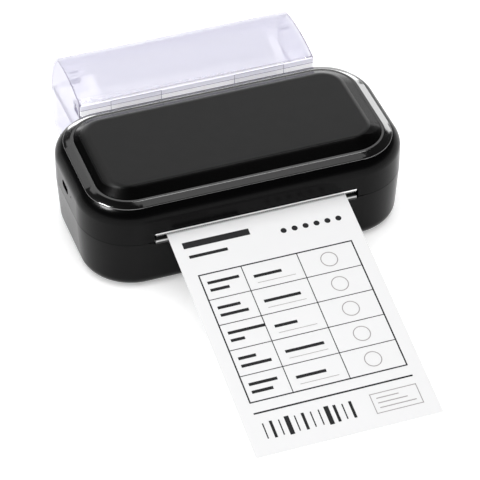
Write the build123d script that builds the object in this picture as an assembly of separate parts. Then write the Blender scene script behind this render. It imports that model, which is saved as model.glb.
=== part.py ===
from build123d import *
import math
import os

# Portable thermal printer for 110 mm paper, with a clear roll bin behind it and a printed sheet in
# front. Units are millimetres, +Z up, +X right, +Y to the rear. Solids are drawn about the centre
# of the body; place() then shifts them so that the origin lies under the middle of the whole model.

# Paper and its path
paper_width = 104.0
paper_thickness = 0.2
sheet_angle = 13.66
web_gap = 0.12
slot_entry_gap = 0.4
roll_wrap_gap = 0.15

# Body shells
shell_margin = 42.0
body_depth = 98.0
body_corner = 31.0
seam_height = 32.5
seam_gap = 0.25
base_underside = 1.0
base_draft = 3.4
base_edge_radius = 7.0
shell_wall = 2.2
head_space = 15.08
cover_crown_rise = 2.2
cover_edge_radius = 9.0

# Bevel ring and raised top pad
ring_side_margin = 5.0
ring_front_margin = 4.5
ring_corner = 25.5
ring_outer_rise = 1.5
ring_inner_rise = 3.0
ring_land = 1.8
ring_band = 6.2
ring_clearance = 0.1
pad_clearance = 0.15
pad_rise = 6.8
pad_shoulder = 7.2
pad_shoulder_drop = 3.5
pad_crown_radius = 6.0

# Cover hinge
hinge_setback = 3.8
hinge_drop = 3.8
hinge_pin_radius = 1.0
hinge_barrel_radius = 2.6
hinge_clearance = 0.5
hinge_ear_width = 8.0
hinge_ear_inset = 18.0
hinge_knuckle_width = 7.0
lug_root_step = 0.4
lug_overlap = 0.2
side_gap = 0.3

# Rear panel of the base, between the two rear corners of the cover
rear_panel_margin = 14.0
rear_panel_root = 4.0
rear_notch_drop = 2.4
rear_notch_reach = 4.0
hinge_sweep_gap = 0.4
hinge_ear_root = 6.0
rear_slot_margin = 5.0
rear_slot_below = 2.1
rear_slot_above = 2.5

# Platen roller
platen_setback = 13.0
platen_drop = 1.6
platen_radius = 7.0
platen_core_radius = 4.0
platen_shaft_radius = 2.0
platen_overhang = 4.0
rubber_overhang = 2.0
shaft_end = 1.5
bush_radius = 4.5
bush_flange_radius = 5.8
bush_flange = 1.2
bush_seat_clearance = 0.02
running_clearance = 0.05

# Gear train at the right-hand end
gear_module = 0.6
pinion_teeth = 14
idler_teeth = 28
platen_gear_teeth = 22
gear_width = 4.0
gear_backlash = 0.12
gear_side_gap = 1.0
gear_dedendum_share = 1.2
gear_addendum_share = 0.9
tooth_root_share = 0.33
tooth_tip_share = 0.11
motor_step = 9.0
motor_floor_gap = 0.3
motor_radius = 9.5
motor_length = 15.0
motor_edge = 1.2
motor_flange = 1.0
motor_ear_width = 8.0
motor_boss_step = 2.0
motor_boss_length = 1.5
motor_bore_depth = 6.0
motor_shaft_radius = 1.0
motor_shaft_inset = 4.0
pinion_press = 0.2
idler_post_radius = 1.25
idler_collar = 1.2
idler_collar_gap = 0.1
idler_post_end = 0.8
pinion_shaft_end = 0.4
platen_shaft_end = 0.6

# Inner frame
cheek_gap = 9.0
cheek_thickness = 2.4
cheek_foot_step = 6.0
cheek_lip = 3.0
cheek_slope_end = 4.0
cheek_nose = 7.6
cheek_shoulder = 7.0
cheek_mouth = 9.0
deck_thickness = 1.6
deck_gap = 0.9
deck_front_gap = 11.0
well_radius = 19.0
well_step = 46.0
well_drop = 4.1
rib_spacing = 40.0
rib_thickness = 1.6
rib_height = 6.0
sensor_width = 10.0
sensor_depth = 5.0
sensor_height = 3.0
sensor_inset = 1.0

# Print head, its bracket and springs
head_length_margin = 4.0
head_depth = 10.0
head_height = 1.0
head_gap = 0.08
bracket_depth = 12.0
bracket_height = 5.0
bracket_floor = 1.8
bracket_wall = 1.4
bracket_arm_width = 6.0
bracket_arm_inset = 10.0
bracket_arm_low = 4.0
spring_spacing = 56.0
spring_turns = 3
spring_radius = 2.4
spring_wire = 0.6

# Tear bar and lower lip
tear_bar_margin = 6.5
tear_bar_gauge = 0.8
tear_bar_proud = 0.2
tooth_pitch = 1.2
tooth_height = 1.1
tooth_root = 0.4
tooth_lift = 0.83
tear_bar_rise = 2.1
slot_side_gap = 0.8
slot_clearance = 0.1
lip_thickness = 1.2
lip_depth = 3.4
lip_rise = 0.5
lip_proud = 0.15
lip_nose = 0.6

# Battery
battery_length = 68.0
battery_width = 34.0
battery_gap = 0.5
battery_corner = 3.0

# Roll bin
bin_margin = 18.25
bin_wall = 1.6
bin_front_gap = 2.6
bin_depth = 60.8
bin_front_height = 47.0
bin_top_height = 59.0
bin_parting_back = 26.5
bin_parting_front = 31.0
bin_parting_reach = 9.0
bin_gap = 0.3
bin_floor_corner = 6.0
bin_cover_setback = 2.4
bin_front_drop = 3.5
bin_crown_setback = 27.4
bin_shoulder_setback = 14.9
bin_shoulder_drop = 1.7
bin_shoulder_inset = 0.4
bin_swell_setback = 5.0
bin_swell_height = 45.0
bin_swell_inset = 0.5
bin_heel_height = 4.0
bin_skirt = 6.0
bin_tray_overlap = 2.0
bin_tab_x = 35.0
bin_tab_width = 25.0
bin_tab_height = 4.0
bin_hinge_radius = 0.9
bin_hinge_stand = 1.26
bin_knuckle_radius = 2.1
bin_knuckle_foot = 5.0
bin_hinge_x = 46.0
bin_hinge_width = 12.0
bin_window_setback = 8.9
bin_window_z = 48.0
bin_window_width = 8.0
bin_window_height = 6.0
bin_catch_inset = 6.0
bin_catch_setback = 32.4
bin_catch_width = 5.0
bin_catch_depth = 3.0
bin_catch_height = 1.6
bin_catch_root = 0.4

# Paper roll and its two sliding guides
roll_radius = 25.0
roll_setback = 28.4
roll_lift = 5.4
core_outer_radius = 8.6
core_inner_radius = 6.4
guide_clearance = 0.35
guide_thickness = 6.5
guide_wall = 1.4
guide_floor_gap = 0.1
guide_step_height = 7.0
guide_top_width = 12.0
guide_neck_width = 18.0
guide_top_bevel = 3.0
guide_pocket_floor = 1.0
guide_pocket_top = 4.0
hub_bore_radius = 4.0
hub_clearance = 0.08
hub_root = 0.5
guide_hub_length = 6.0
guide_top_z = 50.0
guide_base_length = 34.0
rail_height = 2.0
rail_width = 6.0
rail_clearance = 0.1

# Screws and feet
screw_side_inset = 17.0
screw_front_inset = 19.0
screw_rear_inset = 21.0
screw_post_radius = 3.6
screw_post_top = 17.0
screw_seat_height = 6.0
screw_well_radius = 2.9
screw_hole_radius = 1.2
screw_head_radius = 2.4
screw_head_height = 1.6
screw_shank_radius = 1.1
screw_length = 9.0
screw_slot_length = 3.0
screw_slot_width = 0.7
board_screw_radius = 2.0
board_screw_head = 1.0
board_screw_shank = 1.0
foot_radius = 5.0
foot_height = 1.6
foot_x = 49.0
foot_y = 23.8
foot_pocket_depth = 0.6
foot_pocket_gap = 0.1

# Main board, port and light on the left
usb_width = 8.94
usb_height = 3.2
usb_length = 7.4
usb_wall = 0.3
usb_back_wall = 1.2
usb_tongue_width = 6.4
usb_tongue_thickness = 0.7
usb_tongue_step = 0.8
usb_y = 3.0
usb_rise = 8.5
usb_recess = 1.1
usb_port_width = 10.5
usb_port_height = 4.8
usb_port_depth = 8.0
port_round = 0.1
light_y = -7.7
light_rise = 1.0
light_radius = 0.6
light_inset = 0.3
light_length = 7.0
light_foot_width = 2.4
light_foot_height = 0.6
board_thickness = 1.2
board_side_gap = 2.0
board_wall_gap = 5.0
board_end_gap = 24.0
board_y = 1.0
board_corner = 2.0
board_post_radius = 2.4
board_post_inner = 5.0
board_post_outer = 14.0
board_post_front = 7.0
board_post_rear = 6.0
chip_height = 1.1
chip_size = 9.0
chip_step = 5.0
chip_inner_gap = 11.0
memory_width = 6.0
memory_depth = 7.0
memory_step = 14.0
regulator_width = 4.0
regulator_depth = 6.0
regulator_wall_gap = 10.0

# Buttons on the right
button_length = 12.0
button_height = 5.0
button_travel = 1.0
button_gap = 0.25
button_edge = 0.5
button_flange = 1.0
button_flange_gap = 0.3
button_flange_lip = 1.0
button_stem_radius = 1.5
button_stem_length = 8.0
button_cap_root = 4.0
power_button_y = -8.0
power_button_rise = 9.0
release_button_y = -8.0
release_button_drop = 8.5
release_travel = 2.0
release_wall_gap = 0.4
hole_reach_in = 12.0
switch_gap = 0.5
switch_size = 6.0
switch_height = 2.0
plunger_radius = 1.7
plunger_height = 1.0
key_board_thickness = 1.2
key_board_length = 14.0
key_board_drop = 4.0

# How far a cut runs past the solid that it cuts
over = 2.0

# Values that follow from the driving dimensions
body_width = paper_width + 2 * shell_margin
platen_z = seam_height - platen_drop
web_z = platen_z + platen_radius + web_gap + paper_thickness / 2
ring_seat_height = web_z + head_space
cover_low = seam_height + seam_gap
cover_crown_height = ring_seat_height + cover_crown_rise
cover_ceiling = ring_seat_height - shell_wall
ring_width = body_width - 2 * ring_side_margin
ring_depth = body_depth - 2 * ring_front_margin
ring_outer_height = ring_seat_height + ring_outer_rise
ring_inner_height = ring_seat_height + ring_inner_rise
pad_height = ring_seat_height + pad_rise
pad_width = ring_width - 2 * ring_band
pad_depth = ring_depth - 2 * ring_band
pad_corner = ring_corner - ring_band
base_floor = base_underside + shell_wall

hinge_y = body_depth / 2 - hinge_setback
hinge_z = ring_seat_height - hinge_drop
rear_panel_width = paper_width + 2 * rear_panel_margin
rear_panel_height = (hinge_z - hinge_sweep_gap
                     - math.hypot(body_depth / 2 - hinge_y, rear_notch_drop))
hinge_ear_x = rear_panel_width / 2 - hinge_ear_inset
hinge_lug_x = hinge_ear_x + (hinge_ear_width + hinge_knuckle_width) / 2 + side_gap

front_wall_y = -body_depth / 2
platen_y = front_wall_y + platen_setback
platen_length = paper_width + 2 * platen_overhang
slope = math.radians(sheet_angle)
bend_radius = platen_radius + web_gap + paper_thickness / 2
bend_y = platen_y - bend_radius * math.sin(slope)
bend_z = platen_z + bend_radius * math.cos(slope)
exit_z = bend_z + (front_wall_y - bend_y) * math.tan(slope)
sheet_end_z = paper_thickness
sheet_end_y = front_wall_y - (exit_z - sheet_end_z) / math.tan(slope)
rear_slot_width = paper_width + 2 * rear_slot_margin
rear_slot_low = web_z - rear_slot_below
rear_slot_high = web_z + rear_slot_above

tear_bar_width = paper_width + 2 * tear_bar_margin
slot_half_width = tear_bar_width / 2 + slot_side_gap
tooth_tip_height = exit_z + tooth_lift
tear_bar_top = tooth_tip_height + tear_bar_rise
head_half_length = paper_width / 2 + head_length_margin
head_low = web_z + paper_thickness / 2 + head_gap
bracket_low = head_low + head_height

cheek_x = paper_width / 2 + cheek_gap
cheek_inner_x = cheek_x - cheek_thickness
gear_x = cheek_x + gear_side_gap
motor_y = platen_y + motor_step
motor_z = base_floor + motor_radius + motor_flange + motor_floor_gap
deck_low = web_z - deck_gap - deck_thickness
deck_high = deck_low + deck_thickness
deck_front_y = platen_y + deck_front_gap
deck_back_y = body_depth / 2 - shell_wall - side_gap
well_y = platen_y + well_step
well_z = web_z - well_drop
well_outer_radius = well_radius + deck_thickness

bin_width = paper_width + 2 * bin_margin
bin_front_y = body_depth / 2 + bin_front_gap
bin_back_y = bin_front_y + bin_depth
bin_hinge_y = bin_back_y + bin_hinge_stand
bin_hinge_z = bin_parting_back + bin_gap / 2
bin_cover_x = bin_hinge_x + bin_hinge_width + bin_gap
bin_window_y = bin_front_y + bin_window_setback
roll_y = bin_front_y + roll_setback
roll_z = roll_radius + roll_lift

usb_z = seam_height + usb_rise
power_button_z = seam_height + power_button_rise
release_button_z = seam_height - release_button_drop
board_top = usb_z - usb_height / 2
board_low = board_top - board_thickness
board_inner_x = -cheek_x - board_side_gap
board_outer_x = -body_width / 2 + board_wall_gap
board_length = body_depth - 2 * board_end_gap
usb_mouth_x = -body_width / 2 + usb_recess
button_wall_x = body_width / 2 - shell_wall

frame_shift = -(sheet_end_y + bin_hinge_y + bin_knuckle_radius) / 2


def place(solid):
    return Pos(0, frame_shift, 0) * solid


def block(low, high):
    size = [b - a for a, b in zip(low, high)]
    middle = [(a + b) / 2 for a, b in zip(low, high)]
    return Pos(*middle) * Box(*size)


def slab(width, depth, corner, low, high):
    return extrude(Pos(0, 0, low) * RectangleRounded(width, depth, corner), high - low)


def rod_x(radius, x_low, x_high, y, z):
    return Pos((x_low + x_high) / 2, y, z) * Rot(0, 90, 0) * Cylinder(radius, x_high - x_low)


def rod_z(radius, x, y, low, high):
    return Pos(x, y, (low + high) / 2) * Cylinder(radius, high - low)


def profile_x(points, x_low, x_high):
    face = make_face(Polyline(*[(x_low, y, z) for y, z in points], close=True))
    return extrude(face, x_high - x_low, dir=(1, 0, 0))


def mirrored(solid):
    return solid + mirror(solid, about=Plane.YZ)


def base_outer():
    blank = extrude(Pos(0, 0, seam_height) * RectangleRounded(body_width, body_depth, body_corner),
                    seam_height - base_underside, dir=(0, 0, -1), taper=base_draft)
    return fillet(blank.edges().group_by(Axis.Z)[0], base_edge_radius)


def base_inner():
    width = body_width - 2 * shell_wall
    depth = body_depth - 2 * shell_wall
    corner = body_corner - shell_wall
    top = seam_height + over / 2
    blank = extrude(Pos(0, 0, top) * RectangleRounded(width, depth, corner),
                    top - base_floor, dir=(0, 0, -1), taper=base_draft)
    return fillet(blank.edges().group_by(Axis.Z)[0], base_edge_radius - shell_wall)


def front_slot(low, high):
    return block((-slot_half_width, front_wall_y - over, low),
                 (slot_half_width, front_wall_y + shell_wall + over, high))


def rear_slot():
    return block((-rear_slot_width / 2, body_depth / 2 - shell_wall - 3 * over, rear_slot_low),
                 (rear_slot_width / 2, bin_front_y + bin_wall + 2 * over, rear_slot_high))


def hinge_ears():
    radius = hinge_barrel_radius
    parts = []
    for side in (-1, 1):
        low = side * hinge_ear_x - hinge_ear_width / 2
        high = low + hinge_ear_width
        ear = rod_x(radius, low, high, hinge_y, hinge_z)
        ear += block((low, hinge_y - radius, rear_panel_height - hinge_ear_root),
                     (high, hinge_y + radius, hinge_z))
        parts.append(ear)
    return parts


def hinge_bore():
    reach = hinge_lug_x + hinge_knuckle_width
    return mirrored(rod_x(hinge_pin_radius + running_clearance, hinge_ear_x - hinge_ear_width,
                          reach, hinge_y, hinge_z))


def side_button_hole(y, z):
    half_length = button_length / 2 + button_gap
    half_height = button_height / 2 + button_gap
    return block((body_width / 2 - hole_reach_in, y - half_length, z - half_height),
                 (body_width / 2 + over, y + half_length, z + half_height))


def screw_places():
    x = body_width / 2 - screw_side_inset
    front = front_wall_y + screw_front_inset
    rear = body_depth / 2 - screw_rear_inset
    return [(side * x, y) for side in (-1, 1) for y in (front, rear)]


def foot_places():
    return [(x, y) for x in (-foot_x, foot_x) for y in (-foot_y, foot_y)]


def lower_housing():
    shell = base_outer() - base_inner()
    shell += block((-rear_panel_width / 2, body_depth / 2 - shell_wall,
                    seam_height - rear_panel_root),
                   (rear_panel_width / 2, body_depth / 2, rear_panel_height))
    for ear in hinge_ears():
        shell += ear
    for x, y in screw_places():
        shell += rod_z(screw_post_radius, x, y, base_underside, screw_post_top)
    shell -= rear_slot()
    shell -= hinge_bore()
    shell -= block((-slot_half_width, front_wall_y - over, seam_height - lip_thickness),
                   (slot_half_width, front_wall_y + lip_depth + slot_clearance,
                    seam_height + over))
    shell -= side_button_hole(release_button_y, release_button_z)
    for x, y in screw_places():
        shell -= rod_z(screw_well_radius, x, y, base_underside - over, screw_seat_height)
        shell -= rod_z(screw_hole_radius, x, y, base_underside, screw_post_top + over)
    for x, y in foot_places():
        shell -= rod_z(foot_radius + foot_pocket_gap, x, y, base_underside - over,
                       base_underside + foot_pocket_depth)
    return shell


def cover_outer():
    blank = slab(body_width, body_depth, body_corner, cover_low, cover_crown_height)
    return fillet(blank.edges().group_by(Axis.Z)[-1], cover_edge_radius)


def cover_inner():
    blank = slab(body_width - 2 * shell_wall, body_depth - 2 * shell_wall,
                 body_corner - shell_wall, cover_low - over, cover_ceiling)
    return fillet(blank.edges().group_by(Axis.Z)[-1], cover_edge_radius - shell_wall)


def usb_port():
    mouth = Rot(0, 90, 0) * extrude(RectangleRounded(usb_port_height, usb_port_width,
                                                     usb_port_height / 2 - port_round),
                                    usb_port_depth + over)
    return Pos(-body_width / 2 - over, usb_y, usb_z) * mouth


def cover_hinge_cuts(shell):
    """Room for the two ears of the base, and a lug beside each of them."""
    ear_clear = hinge_barrel_radius + hinge_clearance
    for side in (-1, 1):
        low = side * hinge_ear_x - hinge_ear_width / 2 - side_gap
        high = low + hinge_ear_width + 2 * side_gap
        shell -= rod_x(ear_clear, low, high, hinge_y, hinge_z)
        shell -= block((low, hinge_y - ear_clear, rear_panel_height - over),
                       (high, body_depth / 2 + over, hinge_z + hinge_barrel_radius))
    for side in (-1, 1):
        low = side * hinge_lug_x - hinge_knuckle_width / 2
        high = low + hinge_knuckle_width
        lug = rod_x(hinge_barrel_radius, low, high, hinge_y, hinge_z)
        lug += block((low, hinge_y - hinge_barrel_radius, hinge_z),
                     (high, hinge_y + hinge_barrel_radius - lug_root_step,
                      cover_ceiling + lug_overlap))
        shell += lug
    return shell


def upper_housing():
    shell = cover_outer() - cover_inner()
    shell -= slab(ring_width + 2 * ring_clearance, ring_depth + 2 * ring_clearance,
                  ring_corner + ring_clearance, ring_seat_height, cover_crown_height + over)
    notch_half = rear_panel_width / 2 + side_gap
    shell -= block((-notch_half, body_depth / 2 - shell_wall - rear_notch_reach, cover_low - over),
                   (notch_half, body_depth / 2 + over, hinge_z - rear_notch_drop))
    shell -= block((-body_width / 2, hinge_y - over / 2, cover_low - over),
                   (body_width / 2, body_depth / 2 + over,
                    cover_low + hinge_sweep_gap + slot_clearance))
    shell -= front_slot(cover_low - over, tear_bar_top + slot_clearance)
    shell = cover_hinge_cuts(shell)
    for post in board_posts():
        shell += post
    shell -= hinge_bore()
    shell -= usb_port()
    shell -= rod_x(light_radius + bush_seat_clearance, -body_width / 2 - over,
                   -body_width / 2 + shell_wall + over, light_y, usb_z + light_rise)
    shell -= side_button_hole(power_button_y, power_button_z)
    return shell


def bevel_ring():
    band = slab(ring_width, ring_depth, ring_corner, ring_seat_height, ring_inner_height)
    top_edges = band.edges().group_by(Axis.Z)[-1]
    band = chamfer(top_edges, ring_inner_height - ring_outer_height, ring_band - ring_land)
    return band - slab(pad_width, pad_depth, pad_corner, ring_seat_height - over,
                       ring_inner_height + over)


def top_pad():
    width = pad_width - 2 * pad_clearance
    depth = pad_depth - 2 * pad_clearance
    corner = pad_corner - pad_clearance
    pad = slab(width, depth, corner, ring_seat_height, pad_height)
    pad = chamfer(pad.edges().group_by(Axis.Z)[-1], pad_shoulder_drop, pad_shoulder)
    return fillet(pad.edges().group_by(Axis.Z)[-1], pad_crown_radius)


def well_solid(radius):
    return rod_x(radius, -cheek_inner_x, cheek_inner_x, well_y, well_z)


def paper_trough():
    trough = well_solid(well_outer_radius) - well_solid(well_radius)
    return trough & block((-cheek_x, -body_depth, 0), (cheek_x, body_depth, deck_high))


def cheek_outline():
    lean = (seam_height - base_floor - cheek_foot_step) * math.tan(math.radians(base_draft))
    foot_high = base_floor + cheek_foot_step
    shelf = platen_z + over / 2
    return [(platen_y - over, base_floor), (deck_back_y - lean - cheek_foot_step, base_floor),
            (deck_back_y - lean, foot_high), (deck_back_y, seam_height),
            (deck_back_y, deck_low + cheek_lip),
            (deck_front_y + cheek_slope_end, deck_low + cheek_lip),
            (platen_y + cheek_shoulder, shelf), (platen_y - cheek_nose, shelf),
            (platen_y - cheek_nose, foot_high)]


def inner_frame():
    frame = block((-cheek_inner_x, deck_front_y, deck_low), (cheek_inner_x, deck_back_y, deck_high))
    frame -= well_solid(well_outer_radius)
    for low_x in (-cheek_x, cheek_inner_x):
        frame += profile_x(cheek_outline(), low_x, low_x + cheek_thickness)
    seat = bush_radius + bush_seat_clearance
    for low_x in (-cheek_x - over, cheek_inner_x - over):
        high_x = low_x + cheek_thickness + 2 * over
        frame -= rod_x(seat, low_x, high_x, platen_y, platen_z)
        frame -= block((low_x, platen_y - seat, platen_z),
                       (high_x, platen_y + seat, platen_z + cheek_mouth))
    frame -= rod_x(motor_shaft_radius + motor_boss_step, cheek_inner_x - over, cheek_x + over,
                   motor_y, motor_z)
    iy, iz = idler_centre()
    frame += rod_x(idler_post_radius, cheek_x, gear_x + gear_width + idler_post_end, iy, iz)
    frame += rod_x(idler_post_radius + idler_collar, cheek_x, gear_x - idler_collar_gap, iy, iz)
    for x in (-rib_spacing, 0.0, rib_spacing):
        frame += block((x - rib_thickness / 2, well_y + well_outer_radius + deck_thickness,
                        deck_low - rib_height), (x + rib_thickness / 2, deck_back_y, deck_low))
    return frame


def gear_distance(first, second):
    return gear_module * (first + second) / 2 + gear_backlash


def idler_centre():
    span_y = platen_y - motor_y
    span_z = platen_z - motor_z
    span = math.hypot(span_y, span_z)
    near = gear_distance(pinion_teeth, idler_teeth)
    far = gear_distance(idler_teeth, platen_gear_teeth)
    along = (span ** 2 + near ** 2 - far ** 2) / (2 * span)
    aside = math.sqrt(near ** 2 - along ** 2)
    y = motor_y + along * span_y / span + aside * span_z / span
    z = motor_z + along * span_z / span - aside * span_y / span
    return y, z


def direction(from_y, from_z, to_y, to_z):
    return math.atan2(to_z - from_z, to_y - from_y)


def gear_phases():
    iy, iz = idler_centre()
    to_idler = direction(motor_y, motor_z, iy, iz)
    to_platen = direction(iy, iz, platen_y, platen_z)
    pinion_phase = to_idler
    idler_pitch = 2 * math.pi / idler_teeth
    idler_phase = to_idler + math.pi + idler_pitch / 2
    lead = (idler_phase - to_platen) % idler_pitch
    platen_pitch = 2 * math.pi / platen_gear_teeth
    platen_phase = to_platen + math.pi + platen_pitch / 2 - lead * idler_teeth / platen_gear_teeth
    return pinion_phase, idler_phase, platen_phase


def gear(teeth, bore, phase, y, z):
    pitch_radius = gear_module * teeth / 2
    root = pitch_radius - gear_dedendum_share * gear_module
    tip = pitch_radius + gear_addendum_share * gear_module
    step = 2 * math.pi / teeth
    points = []
    for index in range(teeth):
        middle = phase + index * step
        for radius, half in ((root, -tooth_root_share), (tip, -tooth_tip_share),
                             (tip, tooth_tip_share), (root, tooth_root_share)):
            points.append((radius, middle + half * step))
    outline = [(y + r * math.cos(a), z + r * math.sin(a)) for r, a in points]
    high_x = gear_x + gear_width
    return profile_x(outline, gear_x, high_x) - rod_x(bore, gear_x - over, high_x + over, y, z)


def motor_pinion():
    wheel = gear(pinion_teeth, motor_shaft_radius - pinion_press, gear_phases()[0],
                 motor_y, motor_z)
    shaft = rod_x(motor_shaft_radius, cheek_inner_x - motor_shaft_inset,
                  gear_x + gear_width + pinion_shaft_end, motor_y, motor_z)
    return wheel + shaft


def idler_gear():
    y, z = idler_centre()
    return gear(idler_teeth, idler_post_radius + running_clearance, gear_phases()[1], y, z)


def platen_gear():
    return gear(platen_gear_teeth, platen_shaft_radius, gear_phases()[2], platen_y, platen_z)


def platen_shaft():
    half = platen_length / 2
    left = rod_x(platen_shaft_radius, -cheek_x - shaft_end, -half, platen_y, platen_z)
    core = rod_x(platen_core_radius, -half, half, platen_y, platen_z)
    right = rod_x(platen_shaft_radius, half, gear_x + gear_width + platen_shaft_end,
                  platen_y, platen_z)
    return left + core + right


def platen_rubber():
    half = paper_width / 2 + rubber_overhang
    sleeve = rod_x(platen_radius, -half, half, platen_y, platen_z)
    return sleeve - rod_x(platen_core_radius, -half - over, half + over, platen_y, platen_z)


def platen_bush(side):
    inner = side * (cheek_inner_x - bush_flange)
    low, high = sorted((inner, side * cheek_x))
    flange_end = inner + side * (bush_flange - bush_seat_clearance)
    flange_low, flange_high = sorted((inner, flange_end))
    bush = rod_x(bush_radius, low, high, platen_y, platen_z)
    bush += rod_x(bush_flange_radius, flange_low, flange_high, platen_y, platen_z)
    return bush - rod_x(platen_shaft_radius + running_clearance, low - over, high + over,
                        platen_y, platen_z)


def stepper_motor():
    high = cheek_inner_x
    can = rod_x(motor_radius, high - motor_length, high - motor_flange, motor_y, motor_z)
    can = chamfer(can.edges().group_by(Axis.X)[0], motor_edge)
    reach = motor_radius + motor_flange
    flange = block((high - motor_flange, motor_y - motor_ear_width / 2, motor_z - reach),
                   (high, motor_y + motor_ear_width / 2, motor_z + reach))
    boss = rod_x(motor_radius - motor_boss_step, high - motor_boss_length, high, motor_y, motor_z)
    bore = rod_x(motor_shaft_radius + running_clearance, high - motor_bore_depth, high + over,
                 motor_y, motor_z)
    return can + flange + boss - bore


def battery():
    half = battery_width / 2
    top = well_z - well_outer_radius - battery_gap
    pack = block((-battery_length / 2, well_y - half, base_floor),
                 (battery_length / 2, well_y + half, top))
    return fillet(pack.edges().filter_by(Axis.X), battery_corner)


def paper_sensor():
    front = deck_front_y + sensor_inset
    return block((-sensor_width / 2, front, deck_low - sensor_height),
                 (sensor_width / 2, front + sensor_depth, deck_low))


def tear_bar():
    front = front_wall_y + tear_bar_proud
    inner = front_wall_y + shell_wall
    gauge = tear_bar_gauge
    top = tear_bar_top
    upstand = cover_ceiling - cover_edge_radius + shell_wall - slot_clearance
    high = tooth_tip_height + tooth_height
    half = tear_bar_width / 2
    points = [(front, high), (front, top), (inner, top), (inner, upstand),
              (inner + gauge, upstand), (inner + gauge, top - gauge),
              (front + gauge, top - gauge), (front + gauge, high)]
    bar = profile_x(points, -half, half)
    count = int(tear_bar_width / tooth_pitch)
    start = -count * tooth_pitch / 2
    edge = [(start, high + tooth_root)]
    for index in range(count):
        edge.append((start + index * tooth_pitch, high))
        edge.append((start + (index + 0.5) * tooth_pitch, tooth_tip_height))
    edge.append((start + count * tooth_pitch, high))
    edge.append((start + count * tooth_pitch, high + tooth_root))
    comb = make_face(Polyline(*[(x, front, z) for x, z in edge], close=True))
    return bar + extrude(comb, gauge, dir=(0, 1, 0))


def lower_lip():
    low = seam_height - lip_thickness
    top = seam_height + lip_rise
    front = front_wall_y - lip_proud
    back = front_wall_y + lip_depth
    points = [(front, low), (front, seam_height), (front_wall_y + lip_nose, top), (back, top),
              (back, low)]
    return profile_x(points, -tear_bar_width / 2, tear_bar_width / 2)


def print_head():
    half = head_depth / 2
    return block((-head_half_length, platen_y - half, head_low),
                 (head_half_length, platen_y + half, bracket_low))


def head_bracket():
    half = bracket_depth / 2
    inner = half - bracket_wall
    floor = bracket_low + bracket_floor
    high = bracket_low + bracket_height
    outline = [(-half, bracket_low), (-half, high), (-inner, high), (-inner, floor),
               (inner, floor), (inner, high), (half, high), (half, bracket_low)]
    channel = profile_x([(platen_y + y, z) for y, z in outline],
                        -head_half_length, head_half_length)
    for side in (-1, 1):
        middle = side * (head_half_length - bracket_arm_inset)
        channel += block((middle - bracket_arm_width / 2, platen_y + inner,
                          bracket_low + bracket_arm_low),
                         (middle + bracket_arm_width / 2, platen_y + half, cover_ceiling))
    return channel


def head_spring(x):
    low = bracket_low + bracket_floor + spring_wire / 2
    high = cover_ceiling - spring_wire / 2
    coil = Helix((high - low) / spring_turns, high - low, spring_radius)
    section = Plane(origin=coil @ 0, z_dir=coil % 0) * Rectangle(spring_wire, spring_wire)
    return Pos(x, platen_y, low) * sweep(section, path=coil)


def head_springs():
    return [head_spring(side * spring_spacing / 2) for side in (-1, 1)]


def board_post_places():
    inner = board_inner_x - board_post_inner + board_side_gap
    outer = -body_width / 2 + board_post_outer
    front = board_y - board_length / 2 + board_post_front
    rear = board_y + board_length / 2 - board_post_rear
    return [(outer, front), (inner, front), (inner, rear)]


def chip(x, y, width, depth):
    return block((x - width / 2, y - depth / 2, board_top),
                 (x + width / 2, y + depth / 2, board_top + chip_height))


def main_board():
    middle = (board_inner_x + board_outer_x) / 2
    board = Pos(middle, board_y) * slab(board_inner_x - board_outer_x, board_length, board_corner,
                                        board_low, board_top)
    for x, y in board_post_places():
        board -= rod_z(screw_hole_radius, x, y, board_low - over, board_top + over)
    chip_x = board_inner_x + board_side_gap - chip_inner_gap
    chip_y = board_y - chip_step
    board += chip(chip_x, chip_y, chip_size, chip_size)
    board += chip(chip_x, chip_y + memory_step, memory_width, memory_depth)
    board += chip(-body_width / 2 + regulator_wall_gap, light_y + light_rise - port_round,
                  regulator_width, regulator_depth)
    return board


def board_posts():
    return [rod_z(board_post_radius, x, y, board_top, cover_ceiling + lug_overlap)
            for x, y in board_post_places()]


def usb_receptacle():
    outline = Rot(0, 90, 0) * RectangleRounded(usb_height, usb_width, usb_height / 2 - port_round / 2)
    inner = Rot(0, 90, 0) * RectangleRounded(usb_height - 2 * usb_wall, usb_width - 2 * usb_wall,
                                             usb_height / 2 - usb_wall - port_round / 2)
    body = extrude(Pos(usb_mouth_x, usb_y, usb_z) * outline, usb_length)
    body -= extrude(Pos(usb_mouth_x, usb_y, usb_z) * inner, usb_length - usb_back_wall)
    half_width = usb_tongue_width / 2
    half_height = usb_tongue_thickness / 2
    tongue = block((usb_mouth_x + usb_tongue_step, usb_y - half_width, usb_z - half_height),
                   (usb_mouth_x + usb_length - usb_back_wall / 2, usb_y + half_width,
                    usb_z + half_height))
    return body + tongue


def status_light():
    front = -body_width / 2 + light_inset
    back = -body_width / 2 + light_length
    z = usb_z + light_rise
    pipe = rod_x(light_radius, front, back, light_y, z)
    half = light_foot_width / 2
    return pipe + block((back - light_foot_width + light_inset, light_y - half, board_top),
                        (back + light_inset, light_y + half, z + light_foot_height))


def base_screw(x, y):
    seat = screw_seat_height
    head = rod_z(screw_head_radius, x, y, seat - screw_head_height, seat)
    shank = rod_z(screw_shank_radius, x, y, seat, seat + screw_length)
    slot = Pos(x, y, seat - screw_head_height) * Box(screw_slot_length, screw_slot_width,
                                                     screw_head_height)
    return head + shank - slot


def base_screws():
    return [base_screw(x, y) for x, y in screw_places()]


def board_screws():
    screws = []
    for x, y in board_post_places():
        screw = rod_z(board_screw_radius, x, y, board_low - board_screw_head, board_low)
        screw += rod_z(board_screw_shank, x, y, board_low, board_top)
        screws.append(screw)
    return screws


def rubber_feet():
    return [rod_z(foot_radius, x, y, 0, foot_height) for x, y in foot_places()]


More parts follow.
